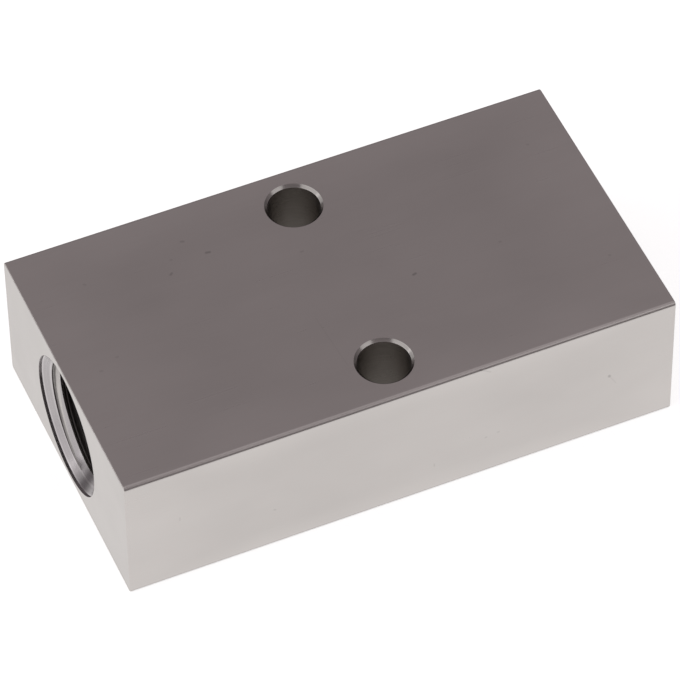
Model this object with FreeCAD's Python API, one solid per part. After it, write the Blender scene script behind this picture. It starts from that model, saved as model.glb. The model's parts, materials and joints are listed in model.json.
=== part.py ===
"""Straight-through port block, machined from one length of flat aluminium bar.

A threaded port is cut into each end and a drilled passage joins the two. A pair of plain holes,
one on each side of the passage, takes the screws that hold the block down.

The origin is the centre of the bottom face. X runs along the ports' axis, Y across the block and
Z up. All lengths are in millimetres and all angles in degrees.
"""
import FreeCAD, Part
import math
import os

from FreeCAD import Vector

# Ports: parallel pipe thread G 1/2. The bores here are at the tap drill's size.
THREAD_MAJOR_D = 20.96
THREAD_DEPTH = 1.16                 # crest to root of the rounded 55 degree thread form
THREAD_LENGTH = 16.0                # usable thread, measured from the end face
TAP_RUNOUT = 4.0                    # bare bore left beyond the thread for the tap's lead
MOUTH_CLEARANCE = 1.02              # the mouth's radius, less that of the thread's roots
MOUTH_WALL = 0.5                    # straight wall of the mouth, before its countersink
COUNTERSINK_HALF_ANGLE = 45.0
DRILL_POINT_HALF_ANGLE = 59.0
PORT_SHOULDER = 2.0                 # step from the tap bore's wall in to the passage's wall

# Mounting holes: plain, right through, countersunk lightly at both faces.
HOLE_D = 8.4
HOLE_CHAMFER = 0.45
HOLE_TO_PASSAGE_WALL = 5.98
HOLE_TO_SIDE_WALL = 3.3

# Bar: cut to length, with the rolled bar's own rounded corners along it.
LENGTH = 91.5
SKIN_OVER_PORT = 1.0                # thinnest wall, above and below a port's mouth
CORNER_RADIUS = 0.7
END_EDGE_BREAK = 0.2

# Length by which a cutting tool stands clear of the face it enters.
TOOL_CLEARANCE = 1.0


def tangent(degrees):
    return math.tan(math.radians(degrees))


# Sizes that follow from the ones above.
THREAD_MINOR_R = THREAD_MAJOR_D / 2 - THREAD_DEPTH
MOUTH_R = THREAD_MAJOR_D / 2 + MOUTH_CLEARANCE
COUNTERSINK_DEPTH = (MOUTH_R - THREAD_MINOR_R) / tangent(COUNTERSINK_HALF_ANGLE)
TAP_BORE_DEPTH = THREAD_LENGTH + TAP_RUNOUT
PASSAGE_R = THREAD_MINOR_R - PORT_SHOULDER
SHOULDER_DEPTH = PORT_SHOULDER / tangent(DRILL_POINT_HALF_ANGLE)
HOLE_OFFSET = PASSAGE_R + HOLE_TO_PASSAGE_WALL + HOLE_D / 2
WIDTH = 2 * (HOLE_OFFSET + HOLE_D / 2 + HOLE_TO_SIDE_WALL)
HEIGHT = 2 * (MOUTH_R + SKIN_OVER_PORT)
PORT_AXIS_Z = HEIGHT / 2


def rounded_section():
    """Outline of the bar in the YZ plane: a rectangle with its four corners rounded."""
    side = WIDTH / 2
    flat = side - CORNER_RADIUS
    low = CORNER_RADIUS
    high = HEIGHT - CORNER_RADIUS
    bulge = CORNER_RADIUS * math.sqrt(0.5)

    def corner(start, centre_y, centre_z, end):
        out_y = math.copysign(bulge, centre_y)
        out_z = math.copysign(bulge, centre_z - PORT_AXIS_Z)
        middle = Vector(0, centre_y + out_y, centre_z + out_z)
        return Part.Arc(Vector(0, *start), middle, Vector(0, *end)).toShape()

    def straight(start, end):
        return Part.makeLine(Vector(0, *start), Vector(0, *end))

    return Part.Wire([
        straight((-flat, 0), (flat, 0)),
        corner((flat, 0), flat, low, (side, low)),
        straight((side, low), (side, high)),
        corner((side, high), flat, high, (flat, HEIGHT)),
        straight((flat, HEIGHT), (-flat, HEIGHT)),
        corner((-flat, HEIGHT), -flat, high, (-side, high)),
        straight((-side, high), (-side, low)),
        corner((-side, low), -flat, low, (-flat, 0)),
    ])


def bar():
    """The cut length of bar, with the burr taken off round both sawn ends."""
    blank = Part.Face(rounded_section()).extrude(Vector(LENGTH, 0, 0))
    blank.translate(Vector(-LENGTH / 2, 0, 0))
    ends = [face for face in blank.Faces if abs(face.normalAt(0, 0).x) > 0.5]
    end_edges = [edge for face in ends for edge in face.Edges]
    return blank.makeChamfer(END_EDGE_BREAK, end_edges)


def turned(profile):
    """Solid of revolution about X from (distance along the axis, radius) points."""
    points = [Vector(along, 0, radius) for along, radius in profile]
    outline = Part.makePolygon(points + points[:1])
    return Part.Face(outline).revolve(Vector(0, 0, 0), Vector(1, 0, 0), 360)


def port_tool():
    """What the port's tools cut away, with the block's end face at zero and the port along +X."""
    bore_start = MOUTH_WALL + COUNTERSINK_DEPTH
    passage_start = TAP_BORE_DEPTH + SHOULDER_DEPTH
    return turned([
        (-TOOL_CLEARANCE, 0),
        (-TOOL_CLEARANCE, MOUTH_R),
        (MOUTH_WALL, MOUTH_R),
        (bore_start, THREAD_MINOR_R),
        (TAP_BORE_DEPTH, THREAD_MINOR_R),
        (passage_start, PASSAGE_R),
        (passage_start, 0),
    ])


def ports():
    """The pair of ports, alike and facing out of opposite ends."""
    left = port_tool()
    left.translate(Vector(-LENGTH / 2, 0, PORT_AXIS_Z))
    right = left.mirror(Vector(0, 0, 0), Vector(1, 0, 0))
    return [left, right]


def passage():
    """Drilled passage between the ports, started from inside each port's bore."""
    half = LENGTH / 2 - TAP_BORE_DEPTH
    return Part.makeCylinder(PASSAGE_R, 2 * half, Vector(-half, 0, PORT_AXIS_Z), Vector(1, 0, 0))


def mounting_hole(centre_y):
    """One through-hole from top to bottom, widened at each face by its chamfer."""
    wall_r = HOLE_D / 2
    rim_r = wall_r + HOLE_CHAMFER
    tool = turned([
        (-TOOL_CLEARANCE, 0),
        (-TOOL_CLEARANCE, rim_r),
        (0, rim_r),
        (HOLE_CHAMFER, wall_r),
        (HEIGHT - HOLE_CHAMFER, wall_r),
        (HEIGHT, rim_r),
        (HEIGHT + TOOL_CLEARANCE, rim_r),
        (HEIGHT + TOOL_CLEARANCE, 0),
    ])
    tool.rotate(Vector(0, 0, 0), Vector(0, 1, 0), -90)
    tool.translate(Vector(0, centre_y, 0))
    return tool


def port_block():
    """The whole block: the bar less its ports, passage and mounting holes."""
    holes = [mounting_hole(side * HOLE_OFFSET) for side in (-1, 1)]
    return bar().cut(ports() + [passage()] + holes).Solids[0]


os.makedirs("parts", exist_ok=True)
port_block().exportStep(os.path.join("parts", "port_block.step"))
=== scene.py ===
"""Looks of the threaded aluminium port block: the machined form with its real threads, the
finish of each kind of surface, and a plain studio.

Shapes are worked out in millimetres, as a machinist would give them, and turned into metres
once, when the finished block is made.
"""

import json
import math

import bmesh
import bpy
from mathutils import Matrix, Vector


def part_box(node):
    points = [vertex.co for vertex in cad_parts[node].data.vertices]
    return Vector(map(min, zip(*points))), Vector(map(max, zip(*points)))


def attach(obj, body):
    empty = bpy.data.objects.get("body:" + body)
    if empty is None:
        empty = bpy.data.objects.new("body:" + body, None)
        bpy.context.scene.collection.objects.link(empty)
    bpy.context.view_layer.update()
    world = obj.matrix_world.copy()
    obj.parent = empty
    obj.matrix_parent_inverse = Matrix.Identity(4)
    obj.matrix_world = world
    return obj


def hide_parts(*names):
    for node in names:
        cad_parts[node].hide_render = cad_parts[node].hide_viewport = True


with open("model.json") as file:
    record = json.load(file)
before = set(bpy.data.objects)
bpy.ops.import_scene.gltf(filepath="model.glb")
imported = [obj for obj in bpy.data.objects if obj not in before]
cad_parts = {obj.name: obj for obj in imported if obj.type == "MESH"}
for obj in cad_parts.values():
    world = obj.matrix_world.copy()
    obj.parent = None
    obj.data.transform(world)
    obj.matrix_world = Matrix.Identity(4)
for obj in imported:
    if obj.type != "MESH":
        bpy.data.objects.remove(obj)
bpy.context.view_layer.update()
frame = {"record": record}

MM = 0.001

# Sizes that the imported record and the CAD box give.
MOUNTS = {mount["name"]: mount for mount in frame["record"]["mounts"]}
LOW, HIGH = (Vector(corner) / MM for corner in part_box("port_block"))
LENGTH, WIDTH, HEIGHT = HIGH - LOW
PORT_AXIS_Z = HEIGHT / 2
THREAD_CREST_R = MOUNTS["port_left"]["dims"]["r_mm"]
BORE_START = LENGTH / 2 - abs(MOUNTS["port_left"]["pos_m"][0]) / MM
BORE_LENGTH = MOUNTS["port_left"]["dims"]["length_mm"]
HOLE_R = MOUNTS["mounting_holes"]["dims"]["hole_r_mm"]
HOLE_SPACING = MOUNTS["mounting_holes"]["dims"]["spacing_y_mm"]

# Sizes that the record has no key for, repeated from the block's own drawing.
THREAD_DEPTH = 1.16
THREAD_PITCH = 1.814
THREAD_LENGTH = 16.0
THREAD_START = math.radians(72.9)       # where on the rim the groove begins
THREAD_RUN_OUT_TURNS = 1.5              # turns over which the groove fades at its far end
THREAD_FLANK_ANGLE = math.radians(27.5)
GROOVE_WIDTH_IN_PITCHES = 5 / 6         # across the groove at its crests
ROOT_RADIUS_IN_PITCHES = 0.1373
MOUTH_R = 11.5
PASSAGE_R = THREAD_CREST_R - 2.0
DRILL_POINT_HALF_ANGLE = math.radians(59)
HOLE_CHAMFER = 0.45
CORNER_RADIUS = 0.7
END_EDGE_BREAK = 0.2

MOUTH_WALL = BORE_START - (MOUTH_R - THREAD_CREST_R)

# How finely round shapes are divided.
TURNED_SEGMENTS = 256
HOLE_SEGMENTS = 128
THREAD_POINTS_PER_TURN = 128
ROOT_STEPS = 4
CORNER_STEPS = 8
EDGE_BREAK_STEPS = 3

# A cutting tool stands this far clear of the face it enters, and the groove's this far below it.
TOOL_CLEARANCE = 1.0
GROOVE_CLEARANCE = 0.2

# Edges that turn by more than this stay crisp.
CRISP_ANGLE = math.radians(35)


# ------------------------------------------------------------------ node trees

class Nodes:
    """A node tree being built, with a short way to add nodes and join them."""

    def __init__(self, tree):
        self.tree = tree

    def node(self, kind, settings=None, **inputs):
        added = self.tree.nodes.new(kind)
        for key, value in (settings or {}).items():
            setattr(added, key, value)
        for key, value in inputs.items():
            socket = added.inputs[int(key[1:])] if key[0] == "_" else added.inputs[key.replace("_", " ")]
            if isinstance(value, bpy.types.NodeSocket):
                self.tree.links.new(value, socket)
            else:
                socket.default_value = value
        return next(socket for socket in added.outputs if socket.enabled)

    def math(self, operation, first, second=0.0, third=0.0):
        return self.node("ShaderNodeMath", {"operation": operation}, _0=first, _1=second, _2=third)

    def vector(self, operation, first, **inputs):
        return self.node("ShaderNodeVectorMath", {"operation": operation}, _0=first, **inputs)

    def combine(self, x=0.0, y=0.0, z=0.0):
        return self.node("ShaderNodeCombineXYZ", X=x, Y=y, Z=z)

    def ramp(self, value, start, end, low=0.0, high=1.0):
        """Low before the start, high past the end, and an even slope that eases between the two."""
        return self.node("ShaderNodeMapRange", {"interpolation_type": "SMOOTHSTEP"}, Value=value,
                         From_Min=start, From_Max=end, To_Min=low, To_Max=high)

    def join(self, source, target):
        self.tree.links.new(source, target)


def ray_is(nodes, kind):
    return nodes.tree.nodes.new("ShaderNodeLightPath").outputs[kind]


# ------------------------------------------------------------------ materials

# Dents and scratches as (start, end, radius, depth), in millimetres from the block's origin.
TOP = HEIGHT
FRONT = -WIDTH / 2
DENTS = [
    ((-19.0, 17.6, TOP), (-18.7, 17.5, TOP), 0.34, 0.030),
    ((-16.3, 13.9, TOP), (-15.8, 13.8, TOP), 0.36, 0.045),
    ((-23.1, 11.9, TOP), (-22.8, 12.1, TOP), 0.32, 0.035),
    ((-21.9, 14.7, TOP), (-21.8, 14.7, TOP), 0.30, 0.018),
    ((-36.1, 15.5, TOP), (-35.9, 15.3, TOP), 0.30, 0.018),
    ((-2.8, 8.1, TOP), (-2.5, 8.1, TOP), 0.30, 0.020),
    ((11.2, -3.3, TOP), (11.6, -3.2, TOP), 0.34, 0.050),
    ((26.2, -2.5, TOP), (26.4, -2.5, TOP), 0.28, 0.020),
    ((-37.0, -0.3, TOP), (-36.8, -0.3, TOP), 0.30, 0.018),
    ((-40.3, -1.9, TOP), (-40.0, -2.0, TOP), 0.28, 0.018),
    ((40.5, -11.9, TOP), (40.7, -12.0, TOP), 0.28, 0.018),
    ((38.7, 14.5, TOP), (38.9, 14.4, TOP), 0.28, 0.018),
    ((-6.1, -5.5, TOP), (-5.4, -16.3, TOP), 0.16, 0.006),
    ((12.8, FRONT, 24.7), (14.4, FRONT, 23.6), 0.22, 0.022),
    ((34.7, FRONT, 13.0), (34.8, FRONT, 12.8), 0.36, 0.045),
    ((34.8, FRONT, 12.8), (35.9, FRONT, 10.8), 0.16, 0.012),
    ((13.7, FRONT, 8.3), (13.9, FRONT, 8.3), 0.28, 0.018),
    ((15.8, FRONT, 8.6), (16.0, FRONT, 8.6), 0.28, 0.018),
    ((-21.7, FRONT, 8.3), (-21.5, FRONT, 8.2), 0.28, 0.018),
    ((-37.1, FRONT, 14.0), (-37.1, FRONT, 13.4), 0.20, 0.018),
    ((5.1, FRONT, 6.1), (5.1, FRONT, 5.6), 0.20, 0.018),
]


def place_in_mm(nodes):
    """This point of the block in millimetres, with its three parts."""
    texture = nodes.tree.nodes.new("ShaderNodeTexCoord")
    place = nodes.vector("SCALE", texture.outputs["Object"], Scale=1 / MM)
    parts = nodes.tree.nodes.new("ShaderNodeSeparateXYZ")
    nodes.join(place, parts.inputs[0])
    return place, parts.outputs["X"], parts.outputs["Y"], parts.outputs["Z"]


def grain(nodes, vector, detail=2.0):
    """Even noise between -1 and 1, one unit of the vector to a grain."""
    return nodes.node("ShaderNodeTexNoise", {"normalize": False}, Vector=vector, Scale=1.0, Detail=detail)


def dent_depth(nodes, place):
    """How deep this point lies in the nearest dent or scratch, in millimetres."""
    depth = 0.0
    for start, end, radius, deepest in DENTS:
        run = Vector(end) - Vector(start)
        from_start = nodes.vector("SUBTRACT", place, _1=start)
        dot = nodes.tree.nodes.new("ShaderNodeVectorMath")
        dot.operation = "DOT_PRODUCT"
        nodes.join(from_start, dot.inputs[0])
        dot.inputs[1].default_value = run / run.length_squared
        along = nodes.node("ShaderNodeClamp", Value=dot.outputs["Value"])
        nearest = nodes.vector("MULTIPLY_ADD", nodes.combine(along, along, along), _1=tuple(run), _2=start)
        away = nodes.vector("DISTANCE", place, _1=nearest)
        depth = nodes.math("MAXIMUM", nodes.ramp(away, radius * 0.2, radius, deepest, 0.0), depth)
    return depth


def painted_edge_sheen(nodes, x, y, z):
    """One at the block's edges and nothing a few millimetres from them; it places the painted sheen there.
    """
    across = nodes.math("DIVIDE", nodes.math("ABSOLUTE", y), WIDTH / 2)
    along = nodes.math("DIVIDE", nodes.math("ABSOLUTE", x), LENGTH / 2)
    upright = nodes.math("DIVIDE", nodes.math("ABSOLUTE", nodes.math("SUBTRACT", z, HEIGHT / 2)), HEIGHT / 2)
    lowest = nodes.math("MINIMUM", nodes.math("MINIMUM", across, along), upright)
    highest = nodes.math("MAXIMUM", nodes.math("MAXIMUM", across, along), upright)
    total = nodes.math("ADD", nodes.math("ADD", across, along), upright)
    middle = nodes.math("SUBTRACT", nodes.math("SUBTRACT", total, lowest), highest)
    return nodes.ramp(middle, 0.60, 1.0)


def aluminium(name, roughness):
    """An empty aluminium finish: its nodes and its shader."""
    material = bpy.data.materials.new(name)
    material.use_nodes = True
    nodes = Nodes(material.node_tree)
    shader = material.node_tree.nodes["Principled BSDF"]
    shader.inputs["Metallic"].default_value = 1
    shader.inputs["Roughness"].default_value = roughness
    return material, nodes, shader


def tint(nodes, shader, colour, shade):
    """Gives the shader this colour, lighter or darker by the shade round one."""
    scaled = nodes.vector("SCALE", tuple(colour), Scale=shade)
    nodes.join(scaled, shader.inputs["Base Color"])


def relief(nodes, shader, height):
    """Bends the light as a surface of this height in millimetres would."""
    bump = nodes.node("ShaderNodeBump", Height=height, Distance=MM, Strength=1.0)
    nodes.join(bump, shader.inputs["Normal"])


def drawn_aluminium():
    """Satin skin of drawn bar: long fine lines, faint clouds, a painted lighter sheen towards the edges and
    a few dents with painted shade in them.
    """
    material, nodes, shader = aluminium("drawn_aluminium", 0.3)
    place, x, y, z = place_in_mm(nodes)
    along_bar = nodes.math("MULTIPLY", x, 0.06)
    across_bar = nodes.math("MULTIPLY", y, 3.2)
    up_bar = nodes.math("MULTIPLY", z, 3.2)
    lines = grain(nodes, nodes.combine(along_bar, across_bar, up_bar), 3.0)
    clouds = grain(nodes, nodes.vector("MULTIPLY", place, _1=(0.05, 0.09, 0.09)))
    dents = dent_depth(nodes, place)
    shade = nodes.math("MULTIPLY_ADD", lines, 0.010, 0.99)
    shade = nodes.math("MULTIPLY_ADD", clouds, 0.04, shade)
    # painted sheen: the faces are made lighter towards the block's edges, standing in for brighter
    # reflections there
    shade = nodes.math("MULTIPLY_ADD", painted_edge_sheen(nodes, x, y, z), 0.065, shade)
    # painted shade: the colour darkens with the depth of each dent and scratch, standing in for the shade
    # inside them
    shade = nodes.math("MULTIPLY_ADD", dents, -6.0, shade)
    tint(nodes, shader, (0.60, 0.572, 0.555), shade)
    nodes.join(nodes.math("MULTIPLY_ADD", lines, 0.03, 0.3), shader.inputs["Roughness"])
    height = nodes.math("MULTIPLY_ADD", lines, 0.00012, nodes.math("MULTIPLY", dents, -0.35))
    relief(nodes, shader, height)
    return material


def milled_aluminium():
    """Faced ends: shallow arcs left by one pass of a wide cutter."""
    material, nodes, shader = aluminium("milled_aluminium", 0.3)
    place, _, y, z = place_in_mm(nodes)
    cutter_centre = (0.0, 9.0, -38.0)
    sweep = nodes.vector("DISTANCE", nodes.combine(0.0, y, z), _1=cutter_centre)
    arc_place = nodes.combine(nodes.math("MULTIPLY", sweep, 2.6), nodes.math("MULTIPLY", y, 0.05))
    arcs = grain(nodes, arc_place, 3.0)
    clouds = grain(nodes, nodes.vector("MULTIPLY", place, _1=(0.1, 0.12, 0.12)))
    shade = nodes.math("MULTIPLY_ADD", arcs, 0.022, 1.0)
    shade = nodes.math("MULTIPLY_ADD", clouds, 0.04, shade)
    tint(nodes, shader, (0.578, 0.55, 0.532), shade)
    nodes.join(nodes.math("MULTIPLY_ADD", arcs, 0.03, 0.3), shader.inputs["Roughness"])
    relief(nodes, shader, nodes.math("MULTIPLY", arcs, 0.0006))
    return material


def port_axis_distance(nodes, y, z):
    return nodes.vector("DISTANCE", nodes.combine(0.0, y, z), _1=(0.0, 0.0, PORT_AXIS_Z))


def depth_in_port(nodes, x):
    """How far this point lies in from the nearer end face."""
    return nodes.math("SUBTRACT", LENGTH / 2, nodes.math("ABSOLUTE", x))


def band(nodes, depth, rise, fall):
    """One between the rise and the fall, both measured from where the mouth's wall ends."""
    risen = nodes.ramp(depth, MOUTH_WALL + rise[0], MOUTH_WALL + rise[1])
    not_fallen = nodes.ramp(depth, MOUTH_WALL + fall[0], MOUTH_WALL + fall[1], 1.0, 0.0)
    return nodes.math("MULTIPLY", risen, not_fallen)


def turned_aluminium():
    """Mouth and countersink of a port: rings left by the tool, and painted highlights along its outer and
    inner lip.
    """
    material, nodes, shader = aluminium("turned_aluminium", 0.24)
    _, x, y, z = place_in_mm(nodes)
    away = port_axis_distance(nodes, y, z)
    depth = depth_in_port(nodes, x)
    ring_place = nodes.combine(nodes.math("MULTIPLY", away, 9.0), nodes.math("MULTIPLY", depth, 9.0))
    rings = grain(nodes, ring_place)
    # painted highlights: narrow bands at the outer and inner lip are given a lighter colour
    outer_lip_highlight = band(nodes, depth, (-0.02, 0.0), (0.1, 0.2))
    inner_lip_highlight = band(nodes, depth, (0.9, 1.0), (1.08, 1.2))
    lip_highlights = nodes.math("MAXIMUM", outer_lip_highlight, inner_lip_highlight)
    shade = nodes.math("MULTIPLY_ADD", rings, 0.10, 0.79)
    shade = nodes.math("MULTIPLY_ADD", lip_highlights, 0.22, shade)
    tint(nodes, shader, (0.595, 0.568, 0.575), shade)
    relief(nodes, shader, nodes.math("MULTIPLY", rings, 0.0008))
    return material


def tapped_aluminium():
    """Thread and the bore beyond it: torn a little by the tap, so duller, with painted shade at the root of
    the thread and further in along the bore.
    """
    material, nodes, shader = aluminium("tapped_aluminium", 0.38)
    _, x, y, z = place_in_mm(nodes)
    away = port_axis_distance(nodes, y, z)
    depth = depth_in_port(nodes, x)
    ring_place = nodes.combine(nodes.math("MULTIPLY", away, 6.0), nodes.math("MULTIPLY", depth, 6.0),
                               nodes.math("MULTIPLY", y, 0.4))
    rings = grain(nodes, ring_place, 3.0)
    deep = nodes.ramp(depth, 2.7, 4.2)
    root_shade = nodes.ramp(away, 9.95, 10.35)
    shade = nodes.math("MULTIPLY_ADD", rings, 0.09, 1.0)
    # painted shade: the colour darkens further into the bore and at the root of the thread
    shade = nodes.math("MULTIPLY_ADD", deep, -0.56, shade)
    shade = nodes.math("MULTIPLY_ADD", nodes.math("MULTIPLY", root_shade, shade), -0.45, shade)
    tint(nodes, shader, (0.58, 0.555, 0.54), shade)
    relief(nodes, shader, nodes.math("MULTIPLY", rings, 0.002))
    return material


def drilled_aluminium():
    """Mounting holes: spiral scoring from the drill, on walls a little duller than the faces."""
    material, nodes, shader = aluminium("drilled_aluminium", 0.3)
    _, x, y, z = place_in_mm(nodes)
    score_place = nodes.combine(nodes.math("MULTIPLY", x, 0.25), nodes.math("MULTIPLY", y, 0.25),
                                nodes.math("MULTIPLY", z, 7.0))
    scoring = grain(nodes, score_place, 3.0)
    from_middle = nodes.math("ABSOLUTE", nodes.math("SUBTRACT", z, HEIGHT / 2))
    chamfer_start = HEIGHT / 2 - HOLE_CHAMFER
    in_chamfer = nodes.ramp(from_middle, chamfer_start - 0.02, chamfer_start + 0.02)
    shade = nodes.math("MULTIPLY_ADD", scoring, 0.09, 1.0)
    # painted shade: the chamfer's colour is darkened, which dims its reflections
    shade = nodes.math("MULTIPLY_ADD", in_chamfer, -0.28, shade)
    tint(nodes, shader, (0.58, 0.555, 0.535), shade)
    roughness = nodes.math("MULTIPLY_ADD", scoring, 0.04, 0.3)
    roughness = nodes.math("MULTIPLY_ADD", in_chamfer, -0.1, roughness)
    nodes.join(roughness, shader.inputs["Roughness"])
    relief(nodes, shader, nodes.math("MULTIPLY", scoring, 0.0015))
    return material


DRAWN = drawn_aluminium()
MILLED = milled_aluminium()
TURNED = turned_aluminium()
TAPPED = tapped_aluminium()
DRILLED = drilled_aluminium()

# Finish of each stretch of a port's outline: tool entry, mouth wall, countersink, tapped bore,
# shoulder and passage.
PORT_FINISHES = [TURNED, TURNED, TURNED, TAPPED, TAPPED, TAPPED]


# ------------------------------------------------------------------ shapes

def mesh_object(name, mesh):
    piece = bpy.data.objects.new(name, mesh)
    bpy.context.scene.collection.objects.link(piece)
    return piece


def drawn_bar():
    """The blank: rounded corners along its length and a small edge break round both ends."""
    mesh = bpy.data.meshes.new("drawn_bar")
    form = bmesh.new()
    bmesh.ops.create_cube(form, size=1)
    bmesh.ops.scale(form, vec=(LENGTH, WIDTH, HEIGHT), verts=form.verts)
    bmesh.ops.translate(form, vec=(0, 0, HEIGHT / 2), verts=form.verts)
    along = [edge for edge in form.edges if abs((edge.verts[0].co - edge.verts[1].co).x) > 1]
    bmesh.ops.bevel(form, geom=along, offset=CORNER_RADIUS, segments=CORNER_STEPS,
                    profile=0.5, affect="EDGES")
    ends = [face for face in form.faces if abs(face.normal.x) > 0.9]
    rims = {edge for face in ends for edge in face.edges}
    bmesh.ops.bevel(form, geom=list(rims), offset=END_EDGE_BREAK, segments=EDGE_BREAK_STEPS,
                    profile=0.5, affect="EDGES")
    for face in form.faces:
        face.material_index = int(abs(face.normal.x) > 0.99)
    form.to_mesh(mesh)
    form.free()
    mesh.materials.append(DRAWN)
    mesh.materials.append(MILLED)
    return mesh_object("drawn_bar", mesh)


def turned_tool(name, profile, segments, finishes):
    """Closed solid of revolution about X, from (distance along the axis, radius) points.

    There is one finish for each stretch between two points, and the last one also goes on the caps.
    """
    mesh = bpy.data.meshes.new(name)
    form = bmesh.new()
    rings = []
    for along, radius in profile:
        angles = [2 * math.pi * step / segments for step in range(segments)]
        ring = [form.verts.new((along, radius * math.cos(a), radius * math.sin(a))) for a in angles]
        rings.append(ring)
    materials = list(dict.fromkeys(finishes))
    for near, far, finish in zip(rings, rings[1:], finishes):
        for step in range(segments):
            after = (step + 1) % segments
            wall = form.faces.new((near[step], near[after], far[after], far[step]))
            wall.material_index = materials.index(finish)
    for cap in (rings[0], rings[-1]):
        form.faces.new(cap).material_index = materials.index(finishes[-1])
    bmesh.ops.recalc_face_normals(form, faces=form.faces)
    form.to_mesh(mesh)
    form.free()
    for material in materials:
        mesh.materials.append(material)
    return mesh_object(name, mesh)


def port_profile():
    shoulder = (THREAD_CREST_R - PASSAGE_R) / math.tan(DRILL_POINT_HALF_ANGLE)
    bore_end = BORE_START + BORE_LENGTH
    return [
        (-TOOL_CLEARANCE, MOUTH_R),
        (MOUTH_WALL, MOUTH_R),
        (BORE_START, THREAD_CREST_R),
        (bore_end, THREAD_CREST_R),
        (bore_end + shoulder, PASSAGE_R),
        (LENGTH / 2 + TOOL_CLEARANCE, PASSAGE_R),
    ]


def hole_profile():
    rim = HOLE_R + HOLE_CHAMFER
    return [
        (-TOOL_CLEARANCE, rim),
        (0, rim),
        (HOLE_CHAMFER, HOLE_R),
        (HEIGHT - HOLE_CHAMFER, HOLE_R),
        (HEIGHT, rim),
        (HEIGHT + TOOL_CLEARANCE, rim),
    ]


class ShapeNodes(Nodes):
    """A geometry node tree whose inputs are the sizes of what it makes."""

    def __init__(self, name):
        super().__init__(bpy.data.node_groups.new(name, "GeometryNodeTree"))
        self.inlet = self.tree.nodes.new("NodeGroupInput")
        self.outlet = self.tree.nodes.new("NodeGroupOutput")
        self.tree.interface.new_socket("Geometry", in_out="OUTPUT", socket_type="NodeSocketGeometry")

    def size(self, name, kind="NodeSocketFloat"):
        self.tree.interface.new_socket(name, in_out="INPUT", socket_type=kind)
        return self.inlet.outputs[name]


def thread_groove_tree():
    """A helical groove about Z: a flat-topped vee with a rounded root, run out at its far end."""
    tree = ShapeNodes("thread_groove")
    crest_r = tree.size("Crest radius")
    depth = tree.size("Groove depth")
    pitch = tree.size("Pitch")
    turns = tree.size("Turns")
    run_out = tree.size("Run-out turns")
    per_turn = tree.size("Points per turn", "NodeSocketInt")
    metal = tree.size("Material", "NodeSocketMaterial")

    coil = tree.node("GeometryNodeCurveSpiral", Resolution=per_turn, Rotations=turns, Start_Radius=crest_r,
                     End_Radius=crest_r, Height=tree.math("MULTIPLY", pitch, turns), Reverse=True)
    upright = tree.node("GeometryNodeSetCurveNormal", {"mode": "Z_UP"}, Curve=coil)

    place = tree.math("MULTIPLY", tree.node("GeometryNodeSplineParameter"), turns)
    left_over = tree.math("DIVIDE", tree.math("SUBTRACT", turns, place), run_out)
    lift = tree.math("SUBTRACT", 1.0, tree.math("MINIMUM", left_over, 1.0))
    shrink = tree.math("DIVIDE", tree.math("MULTIPLY", lift, depth), crest_r)
    scale = tree.math("SUBTRACT", 1.0, shrink)
    flat_scale = tree.node("ShaderNodeCombineXYZ", X=scale, Y=scale, Z=1.0)
    here = tree.node("GeometryNodeInputPosition")
    moved = tree.node("ShaderNodeVectorMath", {"operation": "MULTIPLY"}, _0=here, _1=flat_scale)
    path = tree.node("GeometryNodeSetPosition", Geometry=upright, Position=moved)

    flanks = 2 * math.tan(THREAD_FLANK_ANGLE)
    width = tree.math("MULTIPLY", pitch, GROOVE_WIDTH_IN_PITCHES)
    root_width = tree.math("SUBTRACT", width, tree.math("MULTIPLY", depth, flanks))
    open_width = tree.math("ADD", width, flanks * GROOVE_CLEARANCE)
    height = tree.math("ADD", depth, GROOVE_CLEARANCE)
    section = tree.node("GeometryNodeCurvePrimitiveQuadrilateral", {"mode": "TRAPEZOID"}, Height=height,
                        Bottom_Width=open_width, Top_Width=root_width, Offset=0.0)
    lift_to_crest = tree.math("SUBTRACT", tree.math("MULTIPLY", height, 0.5), GROOVE_CLEARANCE)
    shift = tree.node("ShaderNodeCombineXYZ", Y=lift_to_crest)
    index = tree.node("GeometryNodeInputIndex")
    at_root = tree.math("LESS_THAN", index, 1.5)
    soft = tree.math("MULTIPLY", at_root, tree.math("MULTIPLY", pitch, ROOT_RADIUS_IN_PITCHES))
    rounded = tree.node("GeometryNodeFilletCurve", {"mode": "POLY"}, Curve=section, Count=ROOT_STEPS,
                        Radius=soft, Limit_Radius=True)
    seated = tree.node("GeometryNodeTransform", Geometry=rounded, Translation=shift)
    turned = tree.node("GeometryNodeTransform", Geometry=seated, Rotation=(0, 0, math.radians(-90)))
    groove = tree.node("GeometryNodeCurveToMesh", Curve=path, Profile_Curve=turned, Fill_Caps=True)
    real = tree.node("GeometryNodeRealizeInstances", Geometry=groove)
    finished = tree.node("GeometryNodeSetMaterial", Geometry=real, Material=metal)
    tree.join(finished, tree.outlet.inputs[0])
    return tree.tree


def plain_mesh(piece):
    evaluated = piece.evaluated_get(bpy.context.evaluated_depsgraph_get())
    return bpy.data.meshes.new_from_object(evaluated)


def run_tree(name, group, values):
    """The mesh that a node tree makes with these input values."""
    piece = mesh_object(name, bpy.data.meshes.new(name))
    modifier = piece.modifiers.new(name, "NODES")
    modifier.node_group = group
    for socket in group.interface.items_tree:
        if socket.in_out == "INPUT":
            modifier[socket.identifier] = values[socket.name]
    mesh = plain_mesh(piece)
    bpy.data.objects.remove(piece)
    return mesh


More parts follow.
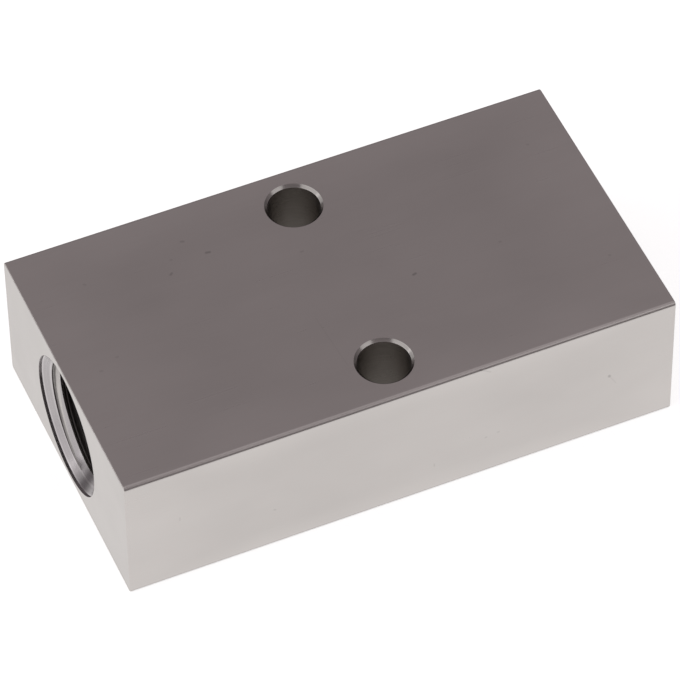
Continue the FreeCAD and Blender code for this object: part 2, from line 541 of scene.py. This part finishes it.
def thread_tool(first_turn):
    """One port's groove, begun a turn outside the block so that it opens cleanly at the mouth."""
    turns = (THREAD_LENGTH + THREAD_PITCH) / THREAD_PITCH
    mesh = run_tree("thread_groove", thread_groove_tree(), {
        "Crest radius": THREAD_CREST_R,
        "Groove depth": THREAD_DEPTH,
        "Pitch": THREAD_PITCH,
        "Turns": turns,
        "Run-out turns": THREAD_RUN_OUT_TURNS,
        "Points per turn": THREAD_POINTS_PER_TURN,
        "Material": TAPPED,
    })
    mesh.transform(Matrix.Rotation(first_turn, 4, "Z"))
    mesh.transform(Matrix.Translation((0, 0, -THREAD_PITCH)))
    return mesh_object("thread_groove", mesh)


def cut(block, tools):
    """Takes the tools out of the block; each cut face keeps the finish of the tool that made it."""
    for tool in tools:
        modifier = block.modifiers.new(tool.name, "BOOLEAN")
        modifier.operation = "DIFFERENCE"
        modifier.solver = "EXACT"
        modifier.material_mode = "TRANSFER"
        modifier.object = tool
    mesh = plain_mesh(block)
    block.modifiers.clear()
    block.data = mesh
    for tool in tools:
        bpy.data.objects.remove(tool)
    return block


def port_block():
    left = Matrix.Translation((-LENGTH / 2, 0, PORT_AXIS_Z))
    right = Matrix.Translation((LENGTH / 2, 0, PORT_AXIS_Z)) @ Matrix.Rotation(math.pi, 4, "Z")
    tools = []
    for end in (left, right):
        port = turned_tool("port", port_profile(), TURNED_SEGMENTS, PORT_FINISHES)
        port.data.transform(end)
        groove = thread_tool(THREAD_START)
        groove.data.transform(end @ Matrix.Rotation(math.radians(90), 4, "Y"))
        tools += [port, groove]
    for side in (-1, 1):
        outline = hole_profile()
        hole = turned_tool("hole", outline, HOLE_SEGMENTS, [DRILLED] * (len(outline) - 1))
        centre = Matrix.Translation((0, side * HOLE_SPACING / 2, 0))
        hole.data.transform(centre @ Matrix.Rotation(math.radians(-90), 4, "Y"))
        tools.append(hole)
    block = cut(drawn_bar(), tools)
    block.name = "port_block_machined"
    block.data.transform(Matrix.Scale(MM, 4))
    for face in block.data.polygons:
        face.use_smooth = True
    block.data.set_sharp_from_angle(angle=CRISP_ANGLE)
    weigh = block.modifiers.new("even_flats", "WEIGHTED_NORMAL")
    weigh.keep_sharp = True
    weigh.weight = 100
    return block


block = port_block()
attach(block, "root")
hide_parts("port_block")


# ------------------------------------------------------------------ studio

# The table lies this far below the block, so that their two flat faces never coincide.
FLOOR_GAP = 0.02


def floor():
    """Pale table: white to the camera, and darkened only by the block's own shadow.

    The metal sees through it to the bright ground of the room, except under the block itself, where it shows
    a fixed faint glow: painted shade in place of the shadow beneath the block.
    From below it is clear, so that the underside can be looked at.
    """
    bpy.ops.mesh.primitive_plane_add(size=12, location=(0, 0, (LOW.z - FLOOR_GAP) * MM))
    table = bpy.context.active_object
    table.name = "table_top"
    material = bpy.data.materials.new("white_table")
    material.use_nodes = True
    nodes = Nodes(material.node_tree)
    lit = material.node_tree.nodes["Principled BSDF"]
    lit.inputs["Base Color"].default_value = (0.9, 0.9, 0.9, 1)
    lit.inputs["Roughness"].default_value = 0.9
    lit.inputs["Specular IOR Level"].default_value = 0.0
    lit.inputs["Emission Color"].default_value = (1, 1, 1, 1)
    glow = nodes.math("MULTIPLY", ray_is(nodes, "Is Camera Ray"), 0.72)
    nodes.join(glow, lit.inputs["Emission Strength"])
    _, x, y, _ = place_in_mm(nodes)
    beyond_ends = nodes.math("GREATER_THAN", nodes.math("ABSOLUTE", x), LENGTH / 2)
    beyond_sides = nodes.math("GREATER_THAN", nodes.math("ABSOLUTE", y), WIDTH / 2)
    open_table = nodes.math("MAXIMUM", beyond_ends, beyond_sides)
    clear = nodes.node("ShaderNodeBsdfTransparent")
    # painted shade: under the block the metal sees this fixed faint glow instead of the shadowed table
    shade_under_block = nodes.node("ShaderNodeEmission", Color=(0.29, 0.28, 0.27, 1))
    in_metal = nodes.node("ShaderNodeMixShader", _0=open_table, _1=shade_under_block, _2=clear)
    surface = nodes.node("ShaderNodeMixShader", _0=ray_is(nodes, "Is Glossy Ray"),
                         _1=lit.outputs["BSDF"], _2=in_metal)
    side = nodes.tree.nodes.new("ShaderNodeNewGeometry")
    seen = nodes.node("ShaderNodeMixShader", _0=side.outputs["Backfacing"], _1=surface, _2=clear)
    nodes.join(seen, material.node_tree.nodes["Material Output"].inputs["Surface"])
    table.data.materials.append(material)


# Name, azimuth, elevation (degrees), distance, width, height (metres) and radiance.
SOFTBOXES = [
    ("left_softbox", -91, 27, 1.0, 1.20, 0.92, 0.66),
    ("back_left_softbox", -132, 16, 1.2, 0.65, 0.6, 0.50),
    ("right_softbox", 44, 36, 1.2, 0.75, 0.60, 0.62),
    ("overhead_softbox", 0, 88, 1.3, 1.3, 1.0, 0.18),
]


def softbox(name, azimuth, elevation, distance, width, height, radiance):
    """A soft lamp aimed at the block; azimuth is measured from the -Y side towards +X."""
    lamp = bpy.data.lights.new(name, "AREA")
    lamp.shape = "RECTANGLE"
    lamp.size = width
    lamp.size_y = height
    lamp.energy = radiance * math.pi * width * height
    box = bpy.data.objects.new(name, lamp)
    turn = Matrix.Rotation(math.radians(azimuth), 4, "Z")
    tilt = Matrix.Rotation(math.radians(90 - elevation), 4, "X")
    middle = Matrix.Translation((0, 0, HEIGHT * MM / 2))
    box.matrix_world = middle @ turn @ tilt @ Matrix.Translation((0, 0, distance))
    bpy.context.scene.collection.objects.link(box)


def room():
    """Dim walls, a bright ground for the metal to show, and white for the camera."""
    world = bpy.data.worlds.new("room")
    world.use_nodes = True
    bpy.context.scene.world = world
    nodes = Nodes(world.node_tree)
    texture = nodes.tree.nodes.new("ShaderNodeTexCoord")
    parts = nodes.tree.nodes.new("ShaderNodeSeparateXYZ")
    nodes.join(texture.outputs["Generated"], parts.inputs[0])
    below = nodes.ramp(parts.outputs["Z"], -0.12, -0.5)
    to_left = nodes.math("MULTIPLY_ADD", parts.outputs["X"], -0.99,
                         nodes.math("MULTIPLY", parts.outputs["Y"], -0.14))
    left_wall = nodes.math("MULTIPLY", nodes.ramp(to_left, 0.72, 0.86),
                           nodes.ramp(parts.outputs["Z"], 0.0, 0.1, 1.0, 0.0))
    below = nodes.math("MAXIMUM", below, left_wall)
    walls = (0.286, 0.256, 0.264, 1)
    skirting = (0.14, 0.125, 0.13, 1)
    ground = (0.955, 0.94, 0.935, 1)
    above = nodes.ramp(parts.outputs["Z"], 0.05, 0.38)
    sides = nodes.node("ShaderNodeMix", {"data_type": "RGBA"}, _0=above, _6=skirting, _7=walls)
    around = nodes.node("ShaderNodeMix", {"data_type": "RGBA"}, _0=below, _6=sides, _7=ground)
    seen = nodes.node("ShaderNodeMix", {"data_type": "RGBA"}, _0=ray_is(nodes, "Is Camera Ray"),
                      _6=around, _7=(1, 1, 1, 1))
    nodes.join(seen, nodes.tree.nodes["Background"].inputs["Color"])


# Camera: looks down on the block from the ported end's side.
CAMERA_AZIMUTH = -22.822
CAMERA_ELEVATION = 49.112
CAMERA_ROLL = -0.838
CAMERA_DISTANCE = 0.82741
CAMERA_LENS = 284.01
CAMERA_SHIFT_RIGHT = 0.000251
CAMERA_SHIFT_UP = -0.008938


def camera():
    lens = bpy.data.cameras.new("camera")
    lens.lens = CAMERA_LENS
    lens.sensor_width = 36
    lens.clip_end = 50
    eye = bpy.data.objects.new("camera", lens)
    turn = Matrix.Rotation(math.radians(CAMERA_AZIMUTH), 4, "Z")
    tilt = Matrix.Rotation(math.radians(90 - CAMERA_ELEVATION), 4, "X")
    roll = Matrix.Rotation(math.radians(CAMERA_ROLL), 4, "Z")
    offset = Matrix.Translation((CAMERA_SHIFT_RIGHT, CAMERA_SHIFT_UP, CAMERA_DISTANCE))
    top = Matrix.Translation((0, 0, HEIGHT * MM))
    eye.matrix_world = top @ turn @ tilt @ roll @ offset
    bpy.context.scene.collection.objects.link(eye)
    bpy.context.scene.camera = eye


floor()
room()
for name, *placing in SOFTBOXES:
    softbox(name, *placing)
camera()
bpy.context.scene.view_settings.view_transform = "Standard"
